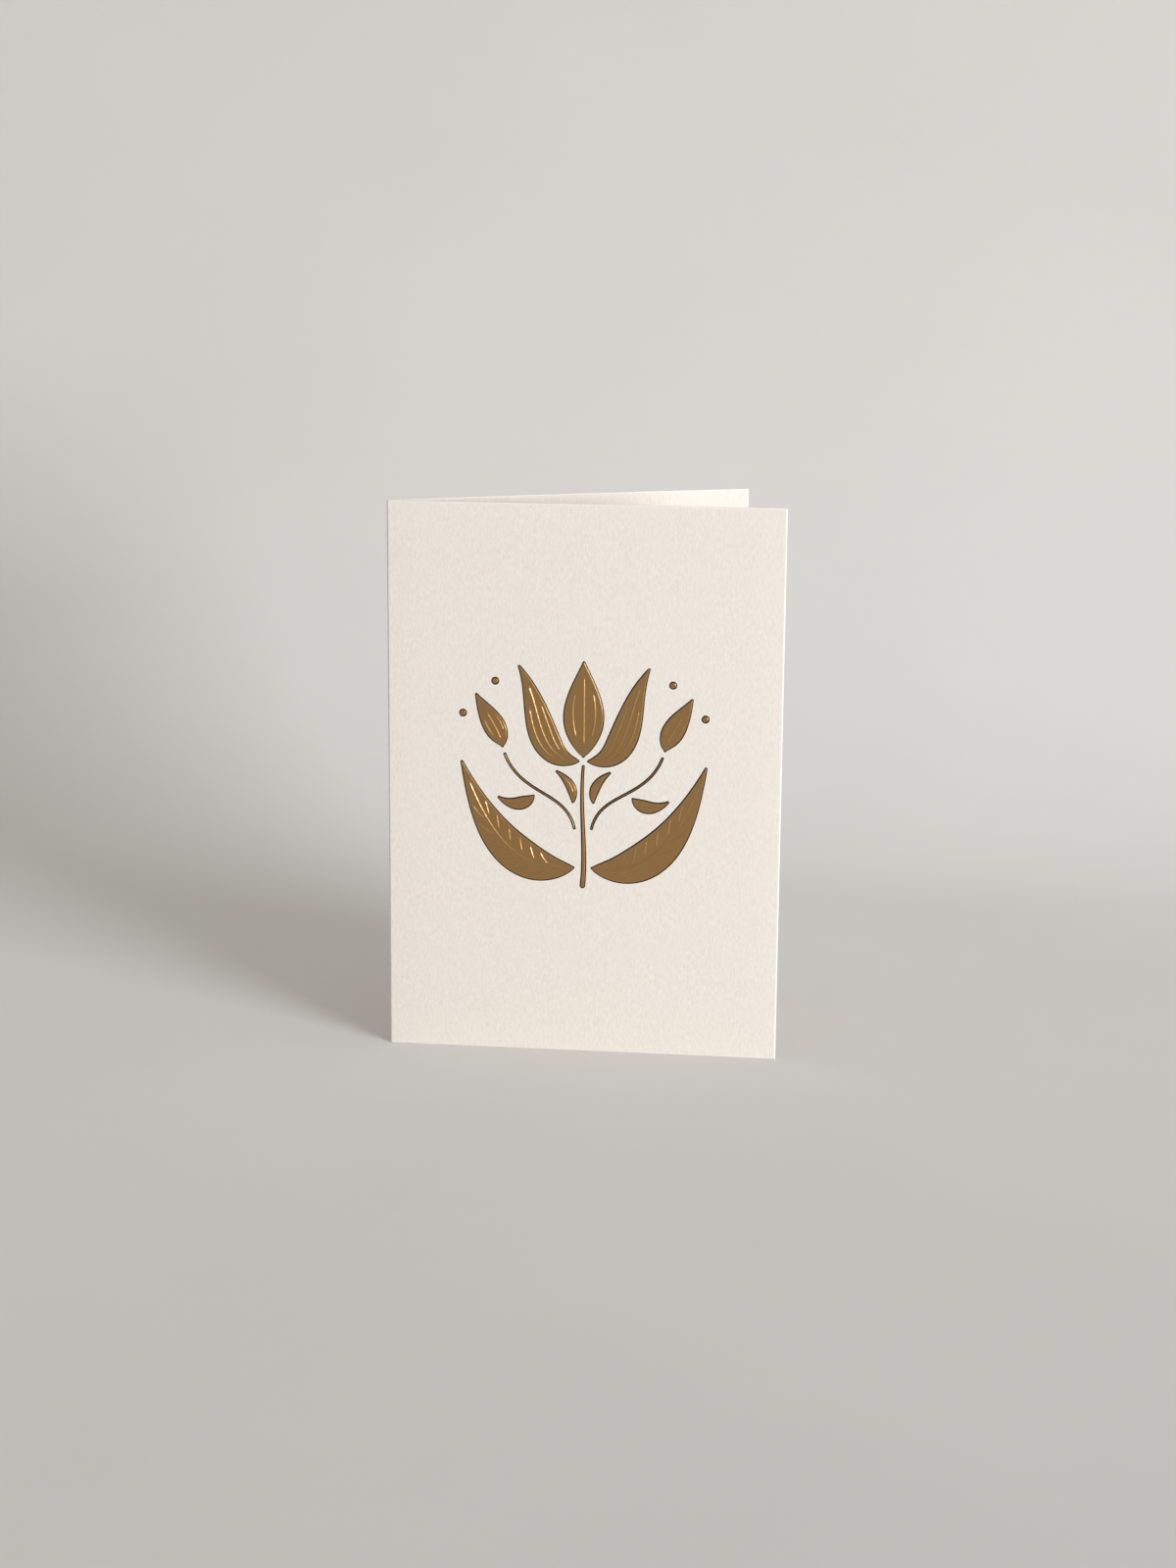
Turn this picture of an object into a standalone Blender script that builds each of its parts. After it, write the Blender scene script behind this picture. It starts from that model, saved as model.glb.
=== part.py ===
# Folded greeting card, opened to a V and standing on its foot.
# Its cover carries a raised tulip sprig in gold foil.
# Everything is in metres, +Z up, with the cover facing -Y and the fold at -X.

import math

import bmesh
import bpy
from mathutils import Vector

MM = 0.001

# The folded sheet, an A6 card of heavy uncoated board
COVER_WIDTH = 105 * MM
COVER_HEIGHT = 148 * MM
BOARD_THICKNESS = 0.45 * MM
FOLD_INNER_RADIUS = 0.15 * MM
OPENING_DEG = 28.8
BACK_BOW = 1.8 * MM
CUT_EDGE_ROUND = 0.12 * MM
CUT_EDGE_STEPS = 2
CUT_EDGE_TURN_DEG = 60
FOLD_STEPS = 10
BOW_STEPS = 12

# The raised artwork and where it stands on the cover
MOTIF_WIDTH = 68 * MM
MOTIF_HEIGHT = 61.5 * MM
MOTIF_MIDDLE_SHARE = 0.514
RELIEF_HEIGHT = 0.22 * MM
RELIEF_SHOULDER = 0.09 * MM
FOIL_FILM = 0.05 * MM
FOIL_CLEARANCE = 0.02 * MM
HOLLOW_INSET = 0.2 * MM

# Lines, tips and dots of the artwork
TIP_RADIUS = 0.5 * MM
STEM_FOOT_RADIUS = 0.85 * MM
BERRY_RADIUS = 1.15 * MM
BERRY_SIDES = 10
TIP_STEPS = 3
RIDGE_WIDTH = 0.56 * MM
RIDGE_TIP_WIDTH = 0.3 * MM
RIDGE_HEIGHT = 0.09 * MM
RIDGE_SHOULDER = 0.06 * MM
RIDGE_MARGIN = 0.8 * MM
RIDGE_CLEARANCE = 0.35 * MM

# Steps along each blade's guide, and along the lines on it
STEM_STEPS = 6
MIDDLE_PETAL_STEPS = 11
SIDE_PETAL_STEPS = 12
LEAF_STEPS = 14
TWIG_STEPS = 8
BUD_STEPS = 8
LEAFLET_STEPS = 6
SPRIG_STEPS = 5
PETAL_RIDGE_STEPS = 6
BUD_RIDGE_STEPS = 4
LEAFLET_RIDGE_STEPS = 4
MIDRIB_STEPS = 10
VEIN_STEPS = 2

# Colour and roughness of the two finishes
BOARD_COLOUR = (0.79, 0.73, 0.64, 1)
BOARD_ROUGHNESS = 0.85
FOIL_COLOUR = (0.42, 0.26, 0.11, 1)
FOIL_ROUGHNESS = 0.3

# Working allowances
OVERRUN = 1 * MM
WELD = 0.001 * MM

# Guide points of each blade, across from the middle and up from the foot,
# as shares of the artwork's width and height, for the right-hand side
STEM_SHARES = ((0, 0.013), (0.015, 0.179), (-0.015, 0.358), (0, 0.54))
MIDDLE_PETAL_SHARES = ((0, 0.585), (0, 0.715), (0, 0.846), (0, 0.992))
SIDE_PETAL_SHARES = ((0.021, 0.563), (0.194, 0.566), (0.156, 0.789), (0.253, 0.969))
LEAF_SHARES = ((0.038, 0.091), (0.243, 0.055), (0.375, 0.211), (0.479, 0.546))
TWIG_SHARES = ((0.034, 0.267), (0.068, 0.433), (0.243, 0.4), (0.309, 0.585))
BUD_SHARES = ((0.319, 0.62), (0.328, 0.683), (0.382, 0.756), (0.421, 0.842))
LEAFLET_SHARES = ((0.196, 0.403), (0.229, 0.364), (0.279, 0.353), (0.332, 0.393))
SPRIG_SHARES = ((0.04, 0.384), (0.034, 0.439), (0.059, 0.481), (0.103, 0.514))
BERRY_SHARES = ((0.474, 0.761), (0.347, 0.904))

# Half-width of each blade at its widest, as a share of the artwork's width,
# and how far along the blade that is
MIDDLE_PETAL_BELLY_SHARE = 0.082
SIDE_PETAL_BELLY_SHARE = 0.059
LEAF_BELLY_SHARE = 0.078
BUD_BELLY_SHARE = 0.046
LEAFLET_BELLY_SHARE = 0.028
SPRIG_BELLY_SHARE = 0.021
PETAL_PEAK_SHARE = 0.43
LEAF_PEAK_SHARE = 0.42
LINE_PEAK_SHARE = 0.5

# Ridge lines on a blade: where each starts and ends along it, and how far
# out it starts and ends, as a share of the half-width inside the margin
PETAL_RIDGE_SHARES = ((0.12, 0.86, 0, 0), (0.2, 0.7, 0.55, 0.7), (0.2, 0.7, -0.55, -0.7))
BUD_RIDGE_SHARES = ((0.14, 0.7, 0, 0), (0.26, 0.62, 0.75, 0.8), (0.26, 0.62, -0.75, -0.8))
LEAFLET_RIDGE_SHARES = ((0.2, 0.8, 0, 0),)
MIDRIB_SHARES = ((0.07, 0.92, 0, 0),)
VEIN_START_SHARES = (0.17, 0.28, 0.39, 0.5, 0.61, 0.71)
VEIN_RUN_SHARE = 0.1
VEIN_INNER_SHARE = 0.22
VEIN_OUTER_SHARE = 0.95

# Placement worked out from the sizes above
FOLD_OUTER_RADIUS = FOLD_INNER_RADIUS + BOARD_THICKNESS
PANEL_LENGTH = COVER_WIDTH - FOLD_OUTER_RADIUS
HALF_BOW_TURN = 4 * BACK_BOW / PANEL_LENGTH
LEAVING_TURN = math.radians(OPENING_DEG) + HALF_BOW_TURN
MOTIF_FOOT = COVER_HEIGHT * MOTIF_MIDDLE_SHARE - MOTIF_HEIGHT / 2
RIDGE_SPACING = RIDGE_WIDTH + RIDGE_CLEARANCE


def section_points():
    """The outer face of the sheet seen from above, cover edge to back edge."""
    points = [Vector((COVER_WIDTH, 0, 0))]
    centre = Vector((FOLD_OUTER_RADIUS, FOLD_OUTER_RADIUS, 0))
    sweep = math.pi - LEAVING_TURN
    for step in range(FOLD_STEPS + 1):
        angle = -math.pi / 2 - sweep * step / FOLD_STEPS
        reach = Vector((math.cos(angle), math.sin(angle), 0))
        points.append(centre + reach * FOLD_OUTER_RADIUS)
    for step in range(BOW_STEPS):
        turn = LEAVING_TURN - 2 * HALF_BOW_TURN * (step + 0.5) / BOW_STEPS
        ahead = Vector((math.cos(turn), math.sin(turn), 0))
        points.append(points[-1] + ahead * PANEL_LENGTH / BOW_STEPS)
    return points


def on_motif(share):
    """A point of the artwork, measured on the cover from the foot of the fold."""
    across, up = share
    return Vector((COVER_WIDTH / 2 + across * MOTIF_WIDTH, MOTIF_FOOT + up * MOTIF_HEIGHT))


class Blade:
    """A petal, leaf or line: a width that swells along a smooth guide."""

    def __init__(self, shares, belly, peak_share, steps, foot_radius=TIP_RADIUS, side=1):
        self.guide = [on_motif((side * across, up)) for across, up in shares]
        self.belly = belly
        self.bulge_power = math.log(0.5) / math.log(peak_share)
        self.steps = steps
        self.foot_radius = foot_radius

    def centre(self, along):
        a, b, c, d = self.guide
        back = 1 - along
        start = a * back**3 + b * (3 * back**2 * along)
        return start + c * (3 * back * along**2) + d * along**3

    def ahead(self, along):
        a, b, c, d = self.guide
        back = 1 - along
        slope = (b - a) * back**2 + (c - b) * (2 * back * along) + (d - c) * along**2
        return slope.normalized()

    def radius(self, along):
        plain = self.foot_radius + (TIP_RADIUS - self.foot_radius) * along
        swell = math.sin(math.pi * along**self.bulge_power)
        return plain + max(self.belly - plain, 0) * swell

    def beside(self, along, out):
        """The point at a signed distance to the left of the guide."""
        ahead = self.ahead(along)
        return self.centre(along) + Vector((-ahead.y, ahead.x)) * out

    def outline(self, inset):
        """The blade's rim, drawn in by the inset, as one closed run of points."""
        places = [step / self.steps for step in range(self.steps + 1)]
        left = [self.beside(along, self.radius(along) - inset) for along in places]
        right = [self.beside(along, inset - self.radius(along)) for along in places]
        return left + self.round_end(1, inset) + right[::-1] + self.round_end(0, inset)

    def round_end(self, along, inset):
        """The points between the two sides, round the tip or the foot."""
        away = self.ahead(along) * (1 if along else -1)
        across = Vector((-away.y, away.x))
        radius = self.radius(along) - inset
        points = []
        for step in range(1, TIP_STEPS):
            angle = math.pi * step / TIP_STEPS
            reach = across * math.cos(angle) + away * math.sin(angle)
            points.append(self.centre(along) + reach * radius)
        return points

    def ridge(self, start, end, inner, outer, steps):
        """A stroke along the blade, drifting from one side share to another."""
        left = []
        right = []
        for step in range(steps + 1):
            part = step / steps
            along = start + (end - start) * part
            share = inner + (outer - inner) * part
            room = max(self.radius(along) - RIDGE_MARGIN, 0)
            out = math.copysign(max(abs(share) * room, RIDGE_SPACING), share) if share else 0
            width = RIDGE_WIDTH if 0 < step < steps else RIDGE_TIP_WIDTH
            left.append(self.beside(along, out + width / 2))
            right.append(self.beside(along, out - width / 2))
        return left + right[::-1]


class Berry:
    """A round dot of the artwork."""

    def __init__(self, share, side):
        across, up = share
        self.middle = on_motif((side * across, up))

    def outline(self, inset):
        points = []
        for step in range(BERRY_SIDES):
            angle = 2 * math.pi * step / BERRY_SIDES
            reach = Vector((math.cos(angle), math.sin(angle)))
            points.append(self.middle + reach * (BERRY_RADIUS - inset))
        return points


def ridge_table(blade, shares, steps):
    return [blade.ridge(*line, steps) for line in shares]


def leaf_veins(blade):
    veins = ridge_table(blade, MIDRIB_SHARES, MIDRIB_STEPS)
    for start in VEIN_START_SHARES:
        for side in (-1, 1):
            inner = side * VEIN_INNER_SHARE
            outer = side * VEIN_OUTER_SHARE
            end = start + VEIN_RUN_SHARE
            veins.append(blade.ridge(start, end, inner, outer, VEIN_STEPS))
    return veins


def foil_islands():
    """Each patch of foil by name, with its shape and its ridge lines."""
    stem = Blade(STEM_SHARES, TIP_RADIUS, LINE_PEAK_SHARE, STEM_STEPS, STEM_FOOT_RADIUS)
    belly = MIDDLE_PETAL_BELLY_SHARE * MOTIF_WIDTH
    middle = Blade(MIDDLE_PETAL_SHARES, belly, PETAL_PEAK_SHARE, MIDDLE_PETAL_STEPS)
    islands = {
        "foil_stem": (stem, []),
        "foil_petal_middle": (middle, ridge_table(middle, PETAL_RIDGE_SHARES, PETAL_RIDGE_STEPS)),
    }
    for side, hand in ((-1, "left"), (1, "right")):
        belly = SIDE_PETAL_BELLY_SHARE * MOTIF_WIDTH
        petal = Blade(SIDE_PETAL_SHARES, belly, PETAL_PEAK_SHARE, SIDE_PETAL_STEPS, side=side)
        lines = ridge_table(petal, PETAL_RIDGE_SHARES, PETAL_RIDGE_STEPS)
        islands["foil_petal_" + hand] = (petal, lines)

        belly = LEAF_BELLY_SHARE * MOTIF_WIDTH
        leaf = Blade(LEAF_SHARES, belly, LEAF_PEAK_SHARE, LEAF_STEPS, side=side)
        islands["foil_leaf_" + hand] = (leaf, leaf_veins(leaf))

        belly = BUD_BELLY_SHARE * MOTIF_WIDTH
        bud = Blade(BUD_SHARES, belly, PETAL_PEAK_SHARE, BUD_STEPS, side=side)
        lines = ridge_table(bud, BUD_RIDGE_SHARES, BUD_RIDGE_STEPS)
        islands["foil_bud_" + hand] = (bud, lines)

        belly = LEAFLET_BELLY_SHARE * MOTIF_WIDTH
        leaflet = Blade(LEAFLET_SHARES, belly, LEAF_PEAK_SHARE, LEAFLET_STEPS, side=side)
        lines = ridge_table(leaflet, LEAFLET_RIDGE_SHARES, LEAFLET_RIDGE_STEPS)
        islands["foil_leaflet_" + hand] = (leaflet, lines)

        belly = SPRIG_BELLY_SHARE * MOTIF_WIDTH
        sprig = Blade(SPRIG_SHARES, belly, LEAF_PEAK_SHARE, SPRIG_STEPS, side=side)
        lines = ridge_table(sprig, LEAFLET_RIDGE_SHARES, LEAFLET_RIDGE_STEPS)
        islands["foil_sprig_" + hand] = (sprig, lines)

        twig = Blade(TWIG_SHARES, TIP_RADIUS, LINE_PEAK_SHARE, TWIG_STEPS, side=side)
        islands["foil_twig_" + hand] = (twig, [])
        for place, share in zip(("lower", "upper"), BERRY_SHARES):
            islands["foil_berry_" + place + "_" + hand] = (Berry(share, side), [])
    return islands


def surface(name, colour, roughness, metallic):
    material = bpy.data.materials.new(name)
    material.use_nodes = True
    shader = material.node_tree.nodes["Principled BSDF"]
    shader.inputs["Base Color"].default_value = colour
    shader.inputs["Roughness"].default_value = roughness
    shader.inputs["Metallic"].default_value = metallic
    return material


def place_object(name, data, collection, parent):
    item = bpy.data.objects.new(name, data)
    collection.objects.link(item)
    item.parent = parent
    return item


def curve_mesh(name, curve):
    """The curve's solid as a mesh with its caps welded on."""
    holder = bpy.data.objects.new(name + "_curve", curve)
    bpy.context.scene.collection.objects.link(holder)
    depsgraph = bpy.context.evaluated_depsgraph_get()
    mesh = bpy.data.meshes.new_from_object(holder.evaluated_get(depsgraph))
    mesh.name = name
    bm = bmesh.new()
    bm.from_mesh(mesh)
    bmesh.ops.remove_doubles(bm, verts=bm.verts, dist=WELD)
    bmesh.ops.recalc_face_normals(bm, faces=bm.faces)
    bm.to_mesh(mesh)
    bm.free()
    bpy.data.objects.remove(holder)
    bpy.data.curves.remove(curve)
    return mesh


def slab_mesh(name, outlines, low, high, shoulder):
    """Flat outlines given a thickness from low to high, with eased rims."""
    curve = bpy.data.curves.new(name, "CURVE")
    curve.dimensions = "2D"
    curve.fill_mode = "BOTH"
    curve.extrude = (high - low) / 2 - shoulder
    curve.bevel_depth = shoulder
    curve.bevel_resolution = 0
    curve.offset = -shoulder
    for outline in outlines:
        spline = curve.splines.new("POLY")
        spline.points.add(len(outline) - 1)
        for spot, point in zip(spline.points, outline):
            spot.co = point.to_4d()
        spline.use_cyclic_u = True
    mesh = curve_mesh(name, curve)
    for vertex in mesh.vertices:
        vertex.co.z += (low + high) / 2
    return mesh


def add_boolean(item, operation, tool):
    step = item.modifiers.new(tool.name, "BOOLEAN")
    step.operation = operation
    step.solver = "EXACT"
    step.object = tool


def guide(item):
    item.hide_render = True
    item.display_type = "WIRE"
    return item


def make_sheet(collection, cutters, place, cover, islands):
    """The folded board, raised under the foil and hollow behind it."""
    bm = bmesh.new()
    foot = [bm.verts.new(point) for point in section_points()]
    edges = [bm.edges.new(pair) for pair in zip(foot, foot[1:])]
    walls = bmesh.ops.extrude_edge_only(bm, edges=edges)["geom"]
    top = [part for part in walls if isinstance(part, bmesh.types.BMVert)]
    bmesh.ops.translate(bm, verts=top, vec=(0, 0, COVER_HEIGHT))
    mesh = bpy.data.meshes.new("card")
    bm.to_mesh(mesh)
    bm.free()
    card = place_object("card", mesh, collection, place)

    thickness = card.modifiers.new("board", "SOLIDIFY")
    thickness.thickness = BOARD_THICKNESS
    thickness.offset = -1
    thickness.use_even_offset = True
    rim = card.modifiers.new("cut_edges", "BEVEL")
    rim.width = CUT_EDGE_ROUND
    rim.segments = CUT_EDGE_STEPS
    rim.limit_method = "ANGLE"
    rim.angle_limit = math.radians(CUT_EDGE_TURN_DEG)

    board_top = RELIEF_HEIGHT - FOIL_FILM - FOIL_CLEARANCE
    raised = [shape.outline(FOIL_FILM + FOIL_CLEARANCE) for shape, lines in islands.values()]
    raised_mesh = slab_mesh("raised_board", raised, -BOARD_THICKNESS / 2, board_top, RELIEF_SHOULDER)
    add_boolean(card, "UNION", guide(place_object("raised_board", raised_mesh, cutters, cover)))

    inside = -BOARD_THICKNESS
    hollows = [shape.outline(HOLLOW_INSET) for shape, lines in islands.values()]
    hollow_mesh = slab_mesh("hollows", hollows, inside - OVERRUN, inside + board_top, 0)
    add_boolean(card, "DIFFERENCE", guide(place_object("hollows", hollow_mesh, cutters, cover)))

    card.data.materials.append(surface("uncoated_board", BOARD_COLOUR, BOARD_ROUGHNESS, 0))


def make_foil(collection, cutters, cover, islands):
    """A skin of foil over the top and shoulders of each raised shape."""
    gold = surface("gold_foil", FOIL_COLOUR, FOIL_ROUGHNESS, 1)
    below = -BOARD_THICKNESS
    corners = ((0, 0), (COVER_WIDTH, 0), (COVER_WIDTH, COVER_HEIGHT), (0, COVER_HEIGHT))
    face_outline = [Vector(corner) for corner in corners]
    face_mesh = slab_mesh("cover_face", [face_outline], below, FOIL_CLEARANCE, 0)
    cover_face = guide(place_object("cover_face", face_mesh, cutters, cover))

    bed_top = RELIEF_HEIGHT - FOIL_FILM
    for name, (shape, lines) in islands.items():
        skin = slab_mesh(name, [shape.outline(0)], -BOARD_THICKNESS / 2, RELIEF_HEIGHT, RELIEF_SHOULDER)
        patch = place_object(name, skin, collection, cover)
        if lines:
            crest = RELIEF_HEIGHT + RIDGE_HEIGHT
            ridges = slab_mesh(name + "_ridges", lines, 0, crest, RIDGE_SHOULDER)
            add_boolean(patch, "UNION", guide(place_object(name + "_ridges", ridges, cutters, cover)))
        add_boolean(patch, "DIFFERENCE", cover_face)
        bed = slab_mesh(name + "_bed", [shape.outline(FOIL_FILM)], below, bed_top, RELIEF_SHOULDER)
        add_boolean(patch, "DIFFERENCE", guide(place_object(name + "_bed", bed, cutters, cover)))
        patch.data.materials.append(gold)


def new_collection(name):
    collection = bpy.data.collections.new(name)
    bpy.context.scene.collection.children.link(collection)
    return collection


def main():
    for item in list(bpy.data.objects):
        bpy.data.objects.remove(item)
    collection = new_collection("greeting_card")
    cutters = new_collection("cutters")

    # The origin is under the middle of the standing card
    front_reach = RELIEF_HEIGHT + RIDGE_HEIGHT
    back_reach = section_points()[-1].y
    place = place_object("standing_place", None, collection, None)
    place.location = (-COVER_WIDTH / 2, (front_reach - back_reach) / 2, 0)

    # On the cover, X runs from the fold, Y up from the foot and Z out of the face
    cover = place_object("cover_plane", None, collection, place)
    cover.rotation_euler = (math.pi / 2, 0, 0)

    islands = foil_islands()
    make_sheet(collection, cutters, place, cover, islands)
    make_foil(collection, cutters, cover, islands)


main()
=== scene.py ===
import math

import bmesh
import bpy
from mathutils import Matrix, Vector, kdtree


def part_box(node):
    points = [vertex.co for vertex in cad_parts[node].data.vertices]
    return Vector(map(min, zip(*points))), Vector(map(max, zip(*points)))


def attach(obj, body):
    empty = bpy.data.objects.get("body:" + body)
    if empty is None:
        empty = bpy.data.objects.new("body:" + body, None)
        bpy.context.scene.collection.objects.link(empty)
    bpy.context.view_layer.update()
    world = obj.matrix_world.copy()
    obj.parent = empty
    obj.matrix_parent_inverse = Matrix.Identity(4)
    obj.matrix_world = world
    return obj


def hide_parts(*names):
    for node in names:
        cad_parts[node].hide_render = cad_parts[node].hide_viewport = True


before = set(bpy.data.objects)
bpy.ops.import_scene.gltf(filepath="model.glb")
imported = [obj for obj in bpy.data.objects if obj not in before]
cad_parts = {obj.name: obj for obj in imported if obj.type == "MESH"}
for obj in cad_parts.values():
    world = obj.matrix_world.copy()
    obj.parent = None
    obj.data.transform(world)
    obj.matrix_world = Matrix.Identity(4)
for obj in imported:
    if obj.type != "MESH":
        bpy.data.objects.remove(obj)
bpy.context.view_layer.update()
mm = 0.001
mergeWithin = 0.0005 * mm                          # points closer than this are one
noiseSpread = {"From Min": 0.3, "From Max": 0.7}   # what a noise texture mostly gives
print("frame loaded,", len(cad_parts), "nodes")


# small helpers used by every piece

def linearColour(hexText):
    # sRGB hex to the linear values the shader wants
    channels = [int(hexText[place:place + 2], 16) / 255 for place in (1, 3, 5)]
    return [c / 12.92 if c <= 0.04045 else ((c + 0.055) / 1.055) ** 2.4 for c in channels] + [1]


def addNode(tree, kind, settings=None, links=None):
    # lower-case keys are the node's own settings, the others are its sockets
    node = tree.nodes.new(kind)
    for key, value in (settings or {}).items():
        if isinstance(key, str) and key[0].islower():
            setattr(node, key, value)
        else:
            node.inputs[key].default_value = value
    for key, socket in (links or {}).items():
        tree.links.new(socket, node.inputs[key])
    return node


def newMaterial(name):
    # an empty material with its node tree
    material = bpy.data.materials.new(name)
    material.use_nodes = True
    material.node_tree.nodes.clear()
    return material, material.node_tree


def newPiece(name, bm, material):
    # turns a bmesh into an object at the origin, smooth shaded
    mesh = bpy.data.meshes.new(name)
    bm.to_mesh(mesh)
    bm.free()
    mesh.shade_smooth()
    mesh.materials.append(material)
    piece = bpy.data.objects.new(name, mesh)
    bpy.context.scene.collection.objects.link(piece)
    return piece


def faceOutward(bm):
    # a closed shape whose faces point inwards has a volume below nothing
    bmesh.ops.recalc_face_normals(bm, faces=bm.faces)
    if bm.calc_volume(signed=True) < 0:
        bmesh.ops.reverse_faces(bm, faces=bm.faces)


def dress(piece, node):
    # the piece stands for its CAD node
    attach(piece, "root")
    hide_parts(node)


def mappedGrid(bm, columns, rows, place):
    # a grid whose every point is laid, and painted, by place(column, row)
    made = bmesh.ops.create_grid(bm, x_segments=len(columns) - 1, y_segments=len(rows) - 1, size=1)
    for vert in made["verts"]:
        column = round((vert.co.x + 1) / 2 * (len(columns) - 1))
        row = round((vert.co.y + 1) / 2 * (len(rows) - 1))
        vert.co, paint = place(columns[column], rows[row])
        for layer, value in paint.items():
            vert[layer] = value


def evenSteps(low, high, count):
    return [low + (high - low) * step / count for step in range(count + 1)]


def smoothStep(share):
    # an S curve from 0 to 1
    share = min(max(share, 0), 1)
    return share * share * (3 - 2 * share)


# materials

boardLook = {
    "colour": "#ECE4D8",         # ivory stock
    "fibreLight": "#F6EFE4",     # fibres that lie on top
    "fibreDark": "#DFD6C9",      # the valleys between them
    "fibreWidth": 0.48 * mm,     # real fibres are 0.03 mm wide, drawn as coarse as they need to show
    "fibreLength": 1.4 * mm,
    "cutEdgeAndHighlight": "#F7F1E7",       # paler along the cut edges: bare fibres, plus a painted highlight where the edges catch the light
    "cloud": 9 * mm,             # formation clouds seen in uncoated stock
    "cloudShare": (0.35, 0.65),  # how much of the fibre grain shows, from cloud to cloud
    "roughness": 0.82,
    "ior": 1.45,
    "specular": 0.3,
    "bump": 0.012 * mm,
}


def uncoatedBoard():
    # uncoated pulp board, machine finished: matt, soft vertical fibre grain, faint clouds
    material, tree = newMaterial("uncoatedPulpBoard")
    place = addNode(tree, "ShaderNodeTexCoord").outputs["Object"]
    across = 1 / boardLook["fibreWidth"]
    along = 1 / boardLook["fibreLength"]
    stretch = addNode(tree, "ShaderNodeMapping", {"Scale": (across, across, along)}, {"Vector": place})
    fibres = addNode(
        tree, "ShaderNodeTexNoise", {"Scale": 1, "Detail": 3, "Roughness": 0.6},
        {"Vector": stretch.outputs[0]},
    )
    clouds = addNode(
        tree, "ShaderNodeTexNoise", {"Scale": 1 / boardLook["cloud"], "Detail": 2}, {"Vector": place}
    )
    fibreSpread = addNode(tree, "ShaderNodeMapRange", noiseSpread, {"Value": fibres.outputs["Fac"]})
    grain = addNode(
        tree, "ShaderNodeMix",
        {
            "data_type": "RGBA",
            6: linearColour(boardLook["fibreDark"]), 7: linearColour(boardLook["fibreLight"]),
        },
        {0: fibreSpread.outputs[0]},
    )
    least, most = boardLook["cloudShare"]
    cloudSpread = addNode(
        tree, "ShaderNodeMapRange", {**noiseSpread, "To Min": least, "To Max": most},
        {"Value": clouds.outputs["Fac"]},
    )
    tone = addNode(
        tree, "ShaderNodeMix", {"data_type": "RGBA", 6: linearColour(boardLook["colour"])},
        {0: cloudSpread.outputs[0], 7: grain.outputs[2]},
    )
    # paler cut edges: bare fibres and a painted highlight
    cut = addNode(tree, "ShaderNodeAttribute", {"attribute_name": "cut"})
    colour = addNode(
        tree, "ShaderNodeMix", {"data_type": "RGBA", 7: linearColour(boardLook["cutEdgeAndHighlight"])},
        {0: cut.outputs["Fac"], 6: tone.outputs[2]},
    )
    bump = addNode(
        tree, "ShaderNodeBump", {"Strength": 1, "Distance": boardLook["bump"]},
        {"Height": fibres.outputs["Fac"]},
    )
    shader = addNode(
        tree, "ShaderNodeBsdfPrincipled",
        {
            "Roughness": boardLook["roughness"], "IOR": boardLook["ior"],
            "Specular IOR Level": boardLook["specular"],
        },
        {"Base Color": colour.outputs[2], "Normal": bump.outputs[0]},
    )
    addNode(tree, "ShaderNodeOutputMaterial", None, {"Surface": shader.outputs[0]})
    return material


foilLook = {
    "colour": "#B98E55",        # dark gold
    "rimShadeColour": "#23140A",     # painted shade: the rim is darkened to stand for the shade and dark reflections on its steep wall
    "roughness": 0.31,
    "unevenRoughness": 0.02,
    "rimRoughness": 0.3,        # the rim with painted shade is matt too, so it doesn't glint
    "lacquer": 0.1,             # roughness of the clear lacquer, which keeps the glints pale
    "lacquerIor": 1.5,
    "orangePeel": 2.4 * mm,     # size of the soft waves a stamped film keeps
    "orangePeelRise": 0.006 * mm,
}


def stampedFoil():
    # hot-stamped aluminium film lacquered gold: satin mirror, soft waves, with painted shade darkening
    # the rim
    material, tree = newMaterial("hotStampedGoldFoil")
    place = addNode(tree, "ShaderNodeTexCoord").outputs["Object"]
    waves = addNode(
        tree, "ShaderNodeTexNoise", {"Scale": 1 / foilLook["orangePeel"], "Detail": 1}, {"Vector": place}
    )
    # the rim's painted shade, carried as a point attribute
    rim = addNode(tree, "ShaderNodeAttribute", {"attribute_name": "rimShade"})
    tone = addNode(
        tree, "ShaderNodeMix",
        {
            "data_type": "RGBA",
            6: linearColour(foilLook["colour"]), 7: linearColour(foilLook["rimShadeColour"]),
        },
        {0: rim.outputs["Fac"]},
    )
    gloss = addNode(
        tree, "ShaderNodeMapRange",
        {
            **noiseSpread,
            "To Min": foilLook["roughness"] - foilLook["unevenRoughness"],
            "To Max": foilLook["roughness"] + foilLook["unevenRoughness"],
        },
        {"Value": waves.outputs["Fac"]},
    )
    bump = addNode(
        tree, "ShaderNodeBump", {"Strength": 1, "Distance": foilLook["orangePeelRise"]},
        {"Height": waves.outputs["Fac"]},
    )
    matt = addNode(
        tree, "ShaderNodeMath", {"operation": "MULTIPLY_ADD", 1: foilLook["rimRoughness"]},
        {0: rim.outputs["Fac"], 2: gloss.outputs[0]},
    )
    coat = addNode(tree, "ShaderNodeMath", {"operation": "SUBTRACT", 0: 1}, {1: rim.outputs["Fac"]})
    shader = addNode(
        tree, "ShaderNodeBsdfPrincipled",
        {"Metallic": 1, "Coat Roughness": foilLook["lacquer"], "Coat IOR": foilLook["lacquerIor"]},
        {
            "Base Color": tone.outputs[2], "Roughness": matt.outputs[0],
            "Normal": bump.outputs[0], "Coat Weight": coat.outputs[0],
        },
    )
    addNode(tree, "ShaderNodeOutputMaterial", None, {"Surface": shader.outputs[0]})
    return material


board = uncoatedBoard()
foil = stampedFoil()
print("materials made")


# the folded sheet, hollow behind the raised work

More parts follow.
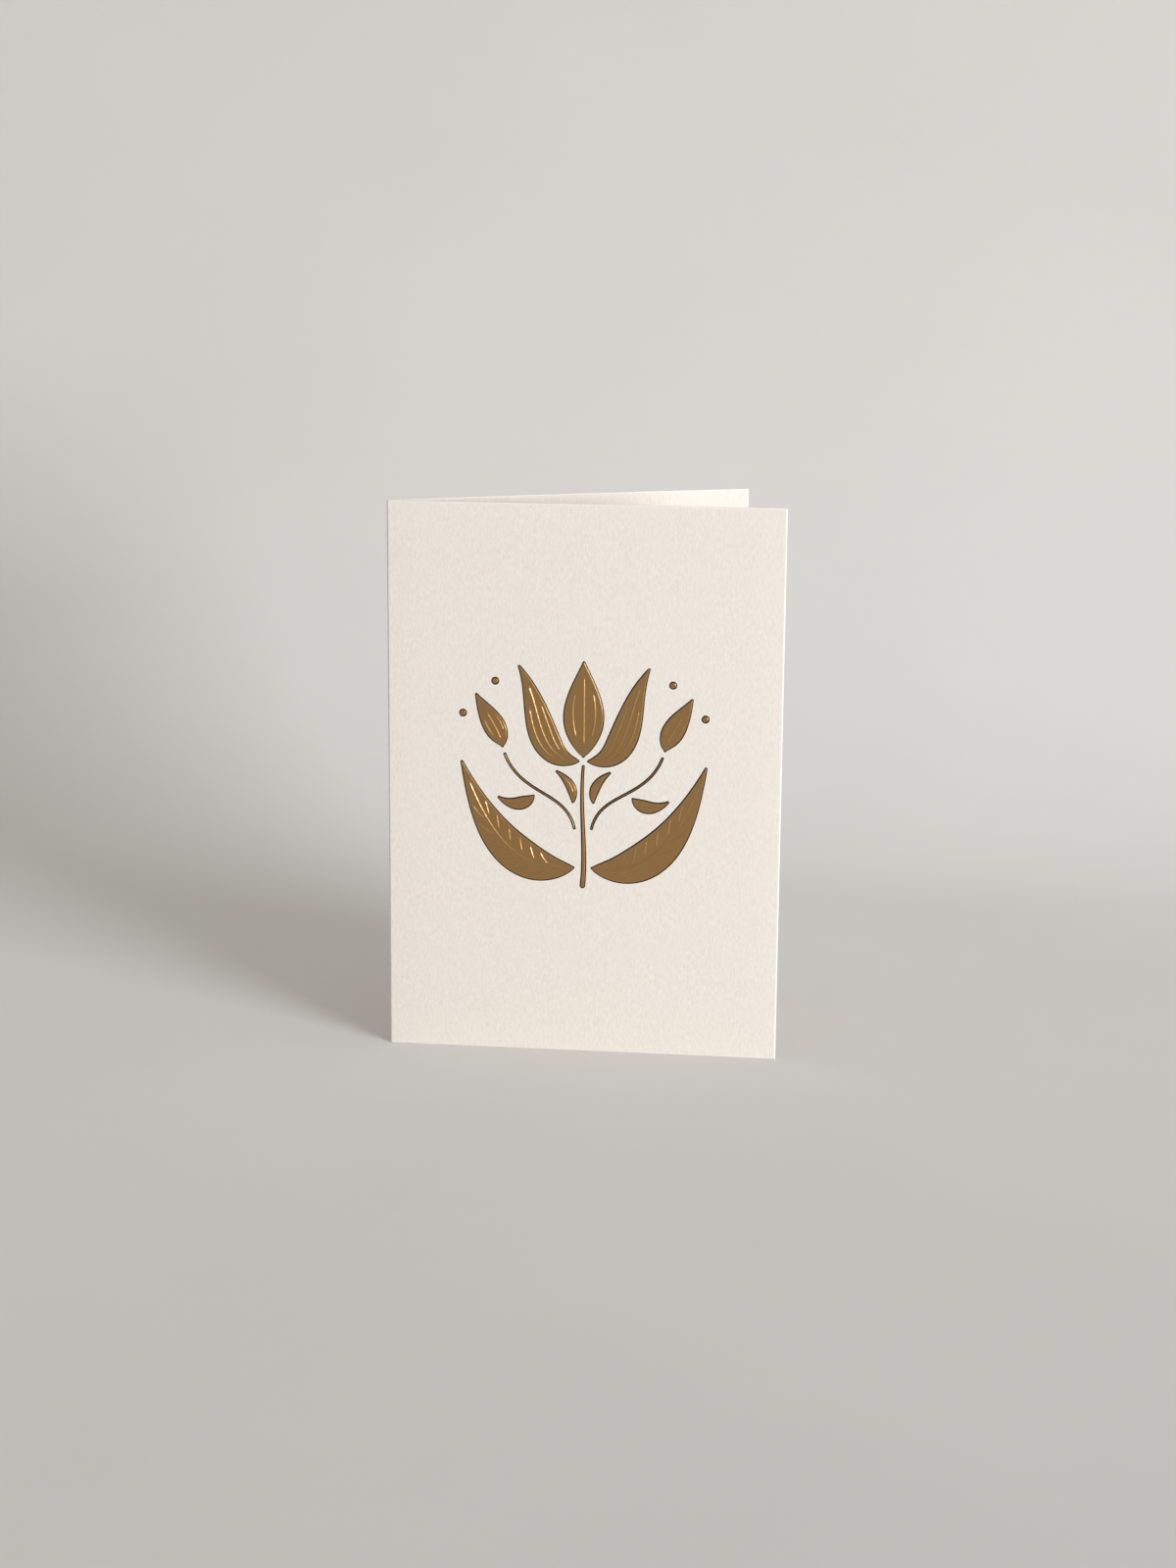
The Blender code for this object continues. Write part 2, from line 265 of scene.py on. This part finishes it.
sheet = {
    "width": 105 * mm,
    "height": 148 * mm,
    "thickness": 0.45 * mm,
    "innerRadius": 0.15 * mm,
    "opening": 28.8,           # degrees between the panels
    "bow": 1.8 * mm,           # how far the back panel swells outward
    "rollWidth": 0.5 * mm,     # the blade rolls the outer face over at the cut edges
    "rollDepth": 0.22 * mm,
    "rollSteps": (0, 0.03, 0.1, 0.2, 0.32, 0.46, 0.62, 0.8, 1),   # shares of its width
    "backWidth": 0.15 * mm,    # and leaves the inner face crisper
    "backDepth": 0.1 * mm,
    "cutWidth": 0.6 * mm,      # how far in the paler edge colour, fibres and painted highlight, reaches
    "foldSteps": 20,
    "bowSteps": 48,
    "panelSteps": 12,
    "upSteps": 16,
    "hollowRoom": 2 * mm,      # the finer points reach this far round the raised work
    "hollowCell": 0.3 * mm,
    "hollowDepth": 0.18 * mm,
    "hollowWall": 0.1 * mm,    # the hollow is narrower than the raised work by this
    "hollowSlope": 0.5 * mm,
}
rollSteps = [share * sheet["rollWidth"] for share in sheet["rollSteps"]]
bellyWidth = rollSteps[2]      # the two faces meet over the outermost rows
outerRadius = sheet["innerRadius"] + sheet["thickness"]
panelLength = sheet["width"] - outerRadius
halfTurn = 4 * sheet["bow"] / panelLength
leavingTurn = math.radians(sheet["opening"]) + halfTurn
foldLength = outerRadius * (math.pi - leavingTurn)
runLength = 2 * panelLength + foldLength


def sheetRun(run):
    # a point of the outer face seen from above, with the way into the board
    if run <= panelLength:
        return Vector((sheet["width"] - run, 0)), Vector((0, 1))
    foldMiddle = Vector((outerRadius, outerRadius))
    if run <= panelLength + foldLength:
        turn = -math.pi / 2 - (run - panelLength) / outerRadius
        out = Vector((math.cos(turn), math.sin(turn)))
        return foldMiddle + out * outerRadius, -out
    tightness = 2 * halfTurn / panelLength
    turn = leavingTurn - tightness * (run - panelLength - foldLength)
    start = foldMiddle + Vector((-math.sin(leavingTurn), math.cos(leavingTurn))) * outerRadius
    swept = Vector((math.sin(leavingTurn) - math.sin(turn), math.cos(turn) - math.cos(leavingTurn)))
    return start + swept / tightness, Vector((math.sin(turn), -math.cos(turn)))


def sheetPoint(run, up, depth):
    # a place in the board, at a depth below its outer face
    point, inward = sheetRun(run)
    spot = point + inward * depth
    return Vector((spot.x - sheet["width"] / 2, spot.y + coverFace, up))


def rolled(edge, width, depth):
    # how far a face has turned in, at a distance from the cut edge
    share = min(edge / width, 1)
    return depth * (1 - math.sqrt(1 - (1 - share) ** 2))


def pressHollows(bm):
    # the die leaves the inside of the cover hollow behind the raised work
    low = artFoot - sheet["hollowRoom"]
    high = artFoot + art["height"] + sheet["hollowRoom"]
    side = art["width"] / 2 + sheet["hollowRoom"]
    innerFace = coverFace + sheet["thickness"]
    closeBy = sheet["thickness"] / 4

    def inPatch(spot):
        return abs(spot.x) < side and low < spot.z < high and abs(spot.y - innerFace) < closeBy

    def raisedInset(spot):
        # how far inside the outline of the raised work a place is
        return max(shape.insetOf(abs(spot.x) if isPair else spot.x, spot.z) for shape, isPair in raised)

    patch = [face for face in bm.faces if inPatch(face.calc_center_median())]
    edges = list(dict.fromkeys(edge for face in patch for edge in face.edges))
    cuts = math.ceil(max(edge.calc_length() for edge in edges) / sheet["hollowCell"]) - 1
    bmesh.ops.subdivide_edges(bm, edges=edges, cuts=cuts, use_grid_fill=True)
    for vert in bm.verts:
        if inPatch(vert.co):
            share = (raisedInset(vert.co) - sheet["hollowWall"]) / sheet["hollowSlope"]
            vert.co.y -= sheet["hollowDepth"] * smoothStep(share)


def makeSheet():
    bm = bmesh.new()
    cut = bm.verts.layers.float.new("cut")
    farEnd = [runLength - step for step in reversed(rollSteps)]
    runs = rollSteps + evenSteps(rollSteps[-1], panelLength, sheet["panelSteps"])[1:]
    runs += evenSteps(panelLength, panelLength + foldLength, sheet["foldSteps"])[1:]
    runs += evenSteps(panelLength + foldLength, farEnd[0], sheet["bowSteps"])[1:] + farEnd[1:]
    topEnd = [sheet["height"] - step for step in reversed(rollSteps)]
    ups = rollSteps + evenSteps(rollSteps[-1], topEnd[0], sheet["upSteps"])[1:] + topEnd[1:]
    meeting = sheet["thickness"] - sheet["backDepth"] - sheet["rollDepth"]

    def face(run, up, width, depth):
        # how far a face has turned in, and its share of the paler edge colour, part painted highlight
        edge = min(run, runLength - run, up, sheet["height"] - up)
        belly = meeting * max(0, 1 - edge / bellyWidth) / 2
        return rolled(edge, width, depth) + belly, {cut: 1 - smoothStep(edge / sheet["cutWidth"])}

    def outer(run, up):
        turned, paint = face(run, up, sheet["rollWidth"], sheet["rollDepth"])
        return sheetPoint(run, up, turned), paint

    def inner(run, up):
        turned, paint = face(run, up, sheet["backWidth"], sheet["backDepth"])
        return sheetPoint(run, up, sheet["thickness"] - turned), paint

    mappedGrid(bm, runs, ups, outer)
    mappedGrid(bm, runs, ups, inner)
    pressHollows(bm)
    bmesh.ops.remove_doubles(bm, verts=bm.verts, dist=mergeWithin)
    faceOutward(bm)
    return newPiece("foldedBoard", bm, board)


# the raised artwork: a width swells along a smooth guide

art = {
    "width": 68 * mm,
    "height": 61.5 * mm,
    "middleUp": 0.514,          # share of the cover's height
    "rise": 0.22 * mm,
    "sink": 0.01 * mm,          # the rim dips into the board
    "shoulder": 0.6 * mm,       # the wall leaves the board and meets the top in soft curves
    "shoulderSteps": (0, 0.1, 0.2, 0.29, 0.38, 0.47, 0.56, 0.65, 0.75, 0.87, 1),
    "shoulderMost": 0.85,       # share of a half width that the shoulder may take
    "rimDark": 0.34 * mm,       # painted shade darkens the rim this far in
    "rimFade": 0.12 * mm,
    "tip": 0.5 * mm,            # half widths where a guide ends
    "stemFoot": 0.85 * mm,
    "berry": 1.15 * mm,
    "ridgeRise": 0.125 * mm,
    "ridgeHalf": 0.38 * mm,
    "ridgeEnd": 1.1 * mm,       # a stroke fades in and out over this length
    "ridgeWave": 0.05,          # hand-cut strokes waver a little
    "wavePeriod": 2.3 * mm,
    "secondWave": 1.7,          # a faster waver on top, so that it doesn't repeat
    "ridgeMargin": 0.8 * mm,    # strokes keep this far from the outline
    "ridgeApart": 0.91 * mm,    # and side strokes this far from the middle one
    "cell": 0.13 * mm,          # between the grid's points
    "guideSteps": 200,
    "roundSteps": 10,
    "berrySteps": 48,
}
# a stroke is where along the guide it starts and ends, then how far out it starts and ends
petalStrokes = ((0.12, 0.86, 0, 0), (0.2, 0.7, 0.55, 0.7), (0.2, 0.7, -0.55, -0.7))
budStrokes = ((0.14, 0.7, 0, 0), (0.26, 0.62, 0.75, 0.8), (0.26, 0.62, -0.75, -0.8))
leafletStrokes = ((0.2, 0.8, 0, 0),)
veins = {"starts": (0.17, 0.28, 0.39, 0.5, 0.61, 0.71), "length": 0.1, "inner": 0.22, "outer": 0.95}
leafStrokes = ((0.07, 0.92, 0, 0),) + tuple(
    (start, start + veins["length"], side * veins["inner"], side * veins["outer"])
    for start in veins["starts"] for side in (-1, 1)
)
# the guide's points are shares of the artwork's size, belly is the widest half width
# as a share of its width, and peak is how far along that is
shapes = {
    "stem": {
        "guide": ((0, 0.013), (0.015, 0.179), (-0.015, 0.358), (0, 0.54)),
        "belly": 0, "peak": 0.5, "strokes": (), "isPair": False,
    },
    "petal_middle": {
        "guide": ((0, 0.585), (0, 0.715), (0, 0.846), (0, 0.992)),
        "belly": 0.082, "peak": 0.43, "strokes": petalStrokes, "isPair": False,
    },
    "petal": {
        "guide": ((0.021, 0.563), (0.194, 0.566), (0.156, 0.789), (0.253, 0.969)),
        "belly": 0.059, "peak": 0.43, "strokes": petalStrokes, "isPair": True,
    },
    "leaf": {
        "guide": ((0.038, 0.091), (0.243, 0.055), (0.375, 0.211), (0.479, 0.546)),
        "belly": 0.078, "peak": 0.42, "strokes": leafStrokes, "isPair": True,
    },
    "twig": {
        "guide": ((0.034, 0.267), (0.068, 0.433), (0.243, 0.4), (0.309, 0.585)),
        "belly": 0, "peak": 0.5, "strokes": (), "isPair": True,
    },
    "bud": {
        "guide": ((0.319, 0.62), (0.328, 0.683), (0.382, 0.756), (0.421, 0.842)),
        "belly": 0.046, "peak": 0.43, "strokes": budStrokes, "isPair": True,
    },
    "leaflet": {
        "guide": ((0.196, 0.403), (0.229, 0.364), (0.279, 0.353), (0.332, 0.393)),
        "belly": 0.028, "peak": 0.42, "strokes": leafletStrokes, "isPair": True,
    },
    "sprig": {
        "guide": ((0.04, 0.384), (0.034, 0.439), (0.059, 0.481), (0.103, 0.514)),
        "belly": 0.021, "peak": 0.42, "strokes": leafletStrokes, "isPair": True,
    },
}
berries = {"berry_lower": (0.474, 0.761), "berry_upper": (0.347, 0.904)}
artFoot = sheet["height"] * art["middleUp"] - art["height"] / 2
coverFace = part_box("foil_stem")[0].y + art["rise"]


def onCover(share):
    return Vector((share[0] * art["width"], artFoot + share[1] * art["height"]))


class Blade:
    # a petal, leaf or line of the artwork

    def __init__(self, shape, foot):
        self.guide = [onCover(share) for share in shape["guide"]]
        self.belly = max(shape["belly"] * art["width"], art["tip"])
        self.power = math.log(0.5) / math.log(shape["peak"])
        self.strokes = shape["strokes"]
        self.foot = foot
        steps = evenSteps(0, 1, art["guideSteps"])
        spots = [self.middle(along) for along in steps]
        self.length = sum((b - a).length for a, b in zip(spots, spots[1:]))
        self.halves = [self.halfWidth(along) for along in steps]
        self.tree = kdtree.KDTree(len(spots))
        for order, spot in enumerate(spots):
            self.tree.insert((spot.x, spot.y, 0), order)
        self.tree.balance()

    def middle(self, along):
        a, b, c, d = self.guide
        back = 1 - along
        return a * back ** 3 + b * (3 * back ** 2 * along) + c * (3 * back * along ** 2) + d * along ** 3

    def ahead(self, along):
        a, b, c, d = self.guide
        back = 1 - along
        return ((b - a) * back ** 2 + (c - b) * (2 * back * along) + (d - c) * along ** 2).normalized()

    def halfWidth(self, along):
        plain = self.foot + (art["tip"] - self.foot) * along
        return plain + max(self.belly - plain, 0) * math.sin(math.pi * along ** self.power)

    def columns(self, cell):
        # (how far along, how far past the end) for every row of points, round ends included
        turns = evenSteps(0, math.pi / 2, art["roundSteps"])
        foot = [(0, -self.halfWidth(0) * math.cos(turn)) for turn in turns[:-1]]
        body = [(along, 0) for along in evenSteps(0, 1, math.ceil(self.length / cell))]
        tip = [(1, self.halfWidth(1) * math.sin(turn)) for turn in turns[1:]]
        return foot + body + tip

    def rows(self, cell):
        # close together over the shoulder, even between
        slope = min(art["shoulder"] / self.belly, art["shoulderMost"])
        rim = [1 - step * slope for step in art["shoulderSteps"]]
        inner = evenSteps(-rim[-1], rim[-1], math.ceil(2 * self.belly * rim[-1] / cell))
        return [-share for share in rim] + inner[1:-1] + rim[::-1]

    def point(self, column, row):
        # the place on the cover, with its distance from the rim and from the guide
        along, past = column
        full = self.halfWidth(along)
        half = math.sqrt(max(full ** 2 - past ** 2, 0)) if past else full
        ahead = self.ahead(along)
        out = row * half
        spot = self.middle(along) + ahead * past + Vector((-ahead.y, ahead.x)) * out
        return spot, full - math.hypot(out, past), out

    def insetOf(self, across, up):
        # how far inside the outline a place on the cover is
        order, away = self.tree.find((across, up, 0))[1:]
        return self.halves[order] - away

    def strokeRise(self, along, out):
        # the raised strokes, bell shaped across and faded at the ends
        rise = 0
        for order, (start, end, inner, outer) in enumerate(self.strokes):
            if start <= along <= end:
                share = inner + (outer - inner) * (along - start) / (end - start)
                room = max(self.halfWidth(along) - art["ridgeMargin"], 0)
                middle = math.copysign(max(abs(share) * room, art["ridgeApart"]), share) if share else 0
                away = abs(out - middle) / art["ridgeHalf"]
                if away < 1:
                    fade = smoothStep(min(along - start, end - along) * self.length / art["ridgeEnd"])
                    turns = 2 * math.pi * along * self.length / art["wavePeriod"] + order
                    waver = math.sin(turns) + math.sin(art["secondWave"] * turns + order)
                    wave = 1 + art["ridgeWave"] * waver
                    rise = max(rise, math.cos(math.pi / 2 * away) ** 2 * fade * wave)
        return rise * art["ridgeRise"]


class Berry:
    # a dot of the artwork

    def __init__(self, share):
        self.centre = onCover(share)

    def insetOf(self, across, up):
        return art["berry"] - math.hypot(across - self.centre.x, up - self.centre.y)


def foilHeight(inset):
    # height above the board at a distance from the outline
    return (art["rise"] + art["sink"]) * smoothStep(inset / art["shoulder"]) - art["sink"]


def rimShadeShare(inset):
    # how much of the rim's painted shade a place has
    return 1 - smoothStep((inset - art["rimDark"]) / art["rimFade"])


def inFixedOrder(bm):
    # spin hands back its faces in another order each run, so they are put in one
    slant = Vector((1, 3.1, 7.3))   # no two points lie equally far along it
    bm.verts.sort(key=lambda vert: vert.co.dot(slant))
    bm.edges.sort(key=lambda edge: (edge.verts[0].co + edge.verts[1].co).dot(slant))
    bm.faces.sort(key=lambda face: face.calc_center_median().dot(slant))
    for parts in (bm.verts, bm.edges, bm.faces):
        parts.index_update()


def closedFoil(name, bm, isLeft):
    # turns a left-hand patch over, closes the underside and makes the piece
    if isLeft:
        bmesh.ops.scale(bm, verts=bm.verts, vec=(-1, 1, 1))
    bmesh.ops.remove_doubles(bm, verts=bm.verts, dist=mergeWithin)
    rim = [edge for edge in bm.edges if edge.is_boundary]
    if rim:
        bmesh.ops.contextual_create(bm, geom=rim)
    inFixedOrder(bm)
    faceOutward(bm)
    return newPiece(name, bm, foil)


def makeFoilBlade(name, blade, isLeft):
    bm = bmesh.new()
    # each point's share of the rim's painted shade
    rimShade = bm.verts.layers.float.new("rimShade")

    def laid(column, row):
        along, past = column
        spot, inset, out = blade.point(column, row)
        rise = foilHeight(inset) + (0 if past else blade.strokeRise(along, out))
        return Vector((spot.x, coverFace - rise, spot.y)), {rimShade: rimShadeShare(inset)}

    mappedGrid(bm, blade.columns(art["cell"]), blade.rows(art["cell"]), laid)
    return closedFoil(name, bm, isLeft)


def makeBerry(name, berry, isLeft):
    # a profile spun about the dot's middle
    bm = bmesh.new()
    # each point's share of the rim's painted shade
    rimShade = bm.verts.layers.float.new("rimShade")
    middle = berry.centre
    insets = [art["berry"]] + [step * art["shoulder"] for step in reversed(art["shoulderSteps"])]
    profile = []
    for inset in insets:
        spot = (middle.x + art["berry"] - inset, coverFace - foilHeight(inset), middle.y)
        profile.append(bm.verts.new(spot))
        profile[-1][rimShade] = rimShadeShare(inset)
    edges = [bm.edges.new(pair) for pair in zip(profile, profile[1:])]
    bmesh.ops.spin(
        bm, geom=profile + edges, cent=(middle.x, coverFace, middle.y), axis=(0, 1, 0),
        angle=2 * math.pi, steps=art["berrySteps"], use_merge=True,
    )
    return closedFoil(name, bm, isLeft)


raised = []   # every raised shape, and whether it comes as a mirrored pair
for shapeName, shape in shapes.items():
    blade = Blade(shape, art["stemFoot"] if shapeName == "stem" else art["tip"])
    raised.append((blade, shape["isPair"]))
    for hand in ("_right", "_left") if shape["isPair"] else ("",):
        node = "foil_" + shapeName + hand
        dress(makeFoilBlade("gold_" + node, blade, hand == "_left"), node)
for berryName, share in berries.items():
    berry = Berry(share)
    raised.append((berry, True))
    for hand in ("_right", "_left"):
        node = "foil_" + berryName + hand
        dress(makeBerry("gold_" + node, berry, hand == "_left"), node)
print("foil patches made")

dress(makeSheet(), "card")
print("sheet made")


# floor and backdrop in one sweep of paper

sweep = {
    "colour": "#E4E0DB",
    "roughness": 0.5,
    "mottle": 90 * mm,
    "mottleTone": (0.99, 1.01),
    "bendStart": 166 * mm,     # behind the card
    "bendRadius": 148 * mm,
    "bendSteps": 24,
    "front": 4,                # metres, well past what the camera sees
    "side": 4,
    "wall": 1.4,
    "fadeFrom": 0.6,           # far from the card the paper melts into the room's own tone
    "fadeTo": 1.7,
    "turn": -5,                # degrees about the card
}


def paperSurface():
    # uncoated background paper: fully matt, one even tone with a faint mottle
    material, tree = newMaterial("matPaperSweep")
    place = addNode(tree, "ShaderNodeTexCoord").outputs["Object"]
    mottle = addNode(
        tree, "ShaderNodeTexNoise", {"Scale": 1 / sweep["mottle"], "Detail": 3}, {"Vector": place}
    )
    darkest, palest = sweep["mottleTone"]
    spread = addNode(
        tree, "ShaderNodeMapRange", {**noiseSpread, "To Min": darkest, "To Max": palest},
        {"Value": mottle.outputs["Fac"]},
    )
    tone = addNode(
        tree, "ShaderNodeMix",
        {"data_type": "RGBA", "blend_type": "MULTIPLY", 0: 1, 6: linearColour(sweep["colour"])},
        {7: spread.outputs[0]},
    )
    paper = addNode(
        tree, "ShaderNodeBsdfDiffuse", {"Roughness": sweep["roughness"]}, {"Color": tone.outputs[2]}
    )
    clear = addNode(tree, "ShaderNodeBsdfTransparent")
    # seen from behind it is clear, so that it never hides the card
    reverse = addNode(tree, "ShaderNodeNewGeometry").outputs["Backfacing"]
    isCamera = addNode(tree, "ShaderNodeLightPath").outputs["Is Camera Ray"]
    behind = addNode(tree, "ShaderNodeMath", {"operation": "MULTIPLY"}, {0: reverse, 1: isCamera})
    away = addNode(tree, "ShaderNodeVectorMath", {"operation": "LENGTH"}, {0: place})
    faded = addNode(
        tree, "ShaderNodeMapRange",
        {"interpolation_type": "SMOOTHSTEP", "From Min": sweep["fadeFrom"], "From Max": sweep["fadeTo"]},
        {"Value": away.outputs["Value"]},
    )
    gone = addNode(
        tree, "ShaderNodeMath", {"operation": "MAXIMUM"}, {0: behind.outputs[0], 1: faded.outputs[0]}
    )
    surface = addNode(
        tree, "ShaderNodeMixShader", None,
        {0: gone.outputs[0], 1: paper.outputs[0], 2: clear.outputs[0]},
    )
    addNode(tree, "ShaderNodeOutputMaterial", None, {"Surface": surface.outputs[0]})
    return material


def makeSweep():
    # the profile from front to wall, pulled sideways
    bm = bmesh.new()
    bend = Vector((0, sweep["bendStart"], 0))
    profile = [Vector((0, -sweep["front"], 0)), bend]
    for turn in evenSteps(0, math.pi / 2, sweep["bendSteps"])[1:]:
        profile.append(bend + Vector((0, math.sin(turn), 1 - math.cos(turn))) * sweep["bendRadius"])
    profile.append(profile[-1] + Vector((0, 0, sweep["wall"])))
    verts = [bm.verts.new(spot + Vector((-sweep["side"], 0, 0))) for spot in profile]
    edges = [bm.edges.new(pair) for pair in zip(verts, verts[1:])]
    pulled = bmesh.ops.extrude_edge_only(bm, edges=edges)["geom"]
    pulled = [part for part in pulled if isinstance(part, bmesh.types.BMVert)]
    bmesh.ops.translate(bm, verts=pulled, vec=(2 * sweep["side"], 0, 0))
    turned = Matrix.Rotation(math.radians(sweep["turn"]), 3, "Z")
    bmesh.ops.rotate(bm, verts=bm.verts, cent=(0, 0, 0), matrix=turned)
    bm.normal_update()
    flattest = max(bm.faces, key=lambda face: abs(face.normal.z))
    if flattest.normal.z < 0:
        bmesh.ops.reverse_faces(bm, faces=bm.faces)
    newPiece("paperSweep", bm, paperSurface())


makeSweep()
print("sweep made")


# light and camera

light = {
    "windowColour": "#F2F6FF",
    "windowPower": 6.26,
    "windowSize": (0.88, 0.5),
    "windowAway": 1.94,
    "windowTurn": 40,          # degrees from +X towards the viewer
    "windowRise": 6,
    "windowSpread": 75,        # degrees, gridded so that the floor under it stays calm
    "windowAim": Vector((-50, 200, 74)) * mm,
    "horizon": "#BDBBB7",      # the room low down, as pale as the far paper
    "shadeSide": "#848179",    # above that it is dark away from the window
    "windowSide": "#D7D7D1",
    "ceiling": "#C3C4C5",
    "shadeUntil": -0.15,       # the room brightens from here towards the window
    "horizonUntil": 0.1,       # sine of the angle above the floor
    "shadeFrom": 0.36,
}


def makeWindow():
    turn = math.radians(light["windowTurn"])
    rise = math.radians(light["windowRise"])
    out = Vector((math.cos(turn) * math.cos(rise), -math.sin(turn) * math.cos(rise), math.sin(rise)))
    data = bpy.data.lights.new("window", "AREA")
    data.shape = "RECTANGLE"
    data.size, data.size_y = light["windowSize"]
    data.energy = light["windowPower"]
    data.spread = math.radians(light["windowSpread"])
    data.color = linearColour(light["windowColour"])[:3]
    window = bpy.data.objects.new("window", data)
    window.location = out * light["windowAway"] + Vector((0, 0, sheet["height"] / 2))
    window.rotation_euler = (window.location - light["windowAim"]).to_track_quat("Z", "Y").to_euler()
    window.visible_camera = False
    bpy.context.scene.collection.objects.link(window)


def makeRoom():
    # the tones that the room itself sends back, by direction
    world = bpy.data.worlds.new("room")
    bpy.context.scene.world = world
    world.use_nodes = True
    tree = world.node_tree
    tree.nodes.clear()
    way = addNode(tree, "ShaderNodeTexCoord").outputs["Generated"]
    parts = addNode(tree, "ShaderNodeSeparateXYZ", None, {"Vector": way})
    towards = addNode(
        tree, "ShaderNodeMapRange", {"From Min": light["shadeUntil"], "From Max": 1},
        {"Value": parts.outputs["X"]},
    )
    around = addNode(
        tree, "ShaderNodeMix",
        {
            "data_type": "RGBA",
            6: linearColour(light["shadeSide"]), 7: linearColour(light["windowSide"]),
        },
        {0: towards.outputs[0]},
    )
    above = addNode(
        tree, "ShaderNodeMapRange",
        {
            "interpolation_type": "SMOOTHSTEP",
            "From Min": light["horizonUntil"], "From Max": light["shadeFrom"],
        },
        {"Value": parts.outputs["Z"]},
    )
    band = addNode(
        tree, "ShaderNodeMix", {"data_type": "RGBA", 6: linearColour(light["horizon"])},
        {0: above.outputs[0], 7: around.outputs[2]},
    )
    up = addNode(
        tree, "ShaderNodeMapRange", {"From Min": light["horizonUntil"], "From Max": 1},
        {"Value": parts.outputs["Z"]},
    )
    tone = addNode(
        tree, "ShaderNodeMix", {"data_type": "RGBA", 7: linearColour(light["ceiling"])},
        {0: up.outputs[0], 6: band.outputs[2]},
    )
    glow = addNode(tree, "ShaderNodeBackground", {"Strength": 1}, {"Color": tone.outputs[2]})
    addNode(tree, "ShaderNodeOutputWorld", None, {"Surface": glow.outputs[0]})


view = {
    "lens": 61.05,
    "sensor": 36,
    "place": Vector((82.61, -711.25, 217.26)) * mm,
    "turn": 6.763,             # degrees to the left
    "down": 11.732,
    "roll": 0.459,
}


def makeCamera():
    data = bpy.data.cameras.new("camera")
    data.lens = view["lens"]
    data.sensor_width = view["sensor"]
    camera = bpy.data.objects.new("camera", data)
    aim = Matrix.Rotation(math.radians(view["turn"]), 4, "Z")
    aim = aim @ Matrix.Rotation(math.radians(90 - view["down"]), 4, "X")
    roll = Matrix.Rotation(math.radians(view["roll"]), 4, "Z")
    camera.matrix_world = Matrix.Translation(view["place"]) @ aim @ roll
    bpy.context.scene.collection.objects.link(camera)
    bpy.context.scene.camera = camera


makeWindow()
makeRoom()
makeCamera()
bpy.context.scene.view_settings.view_transform = "Standard"
print("light and camera set")
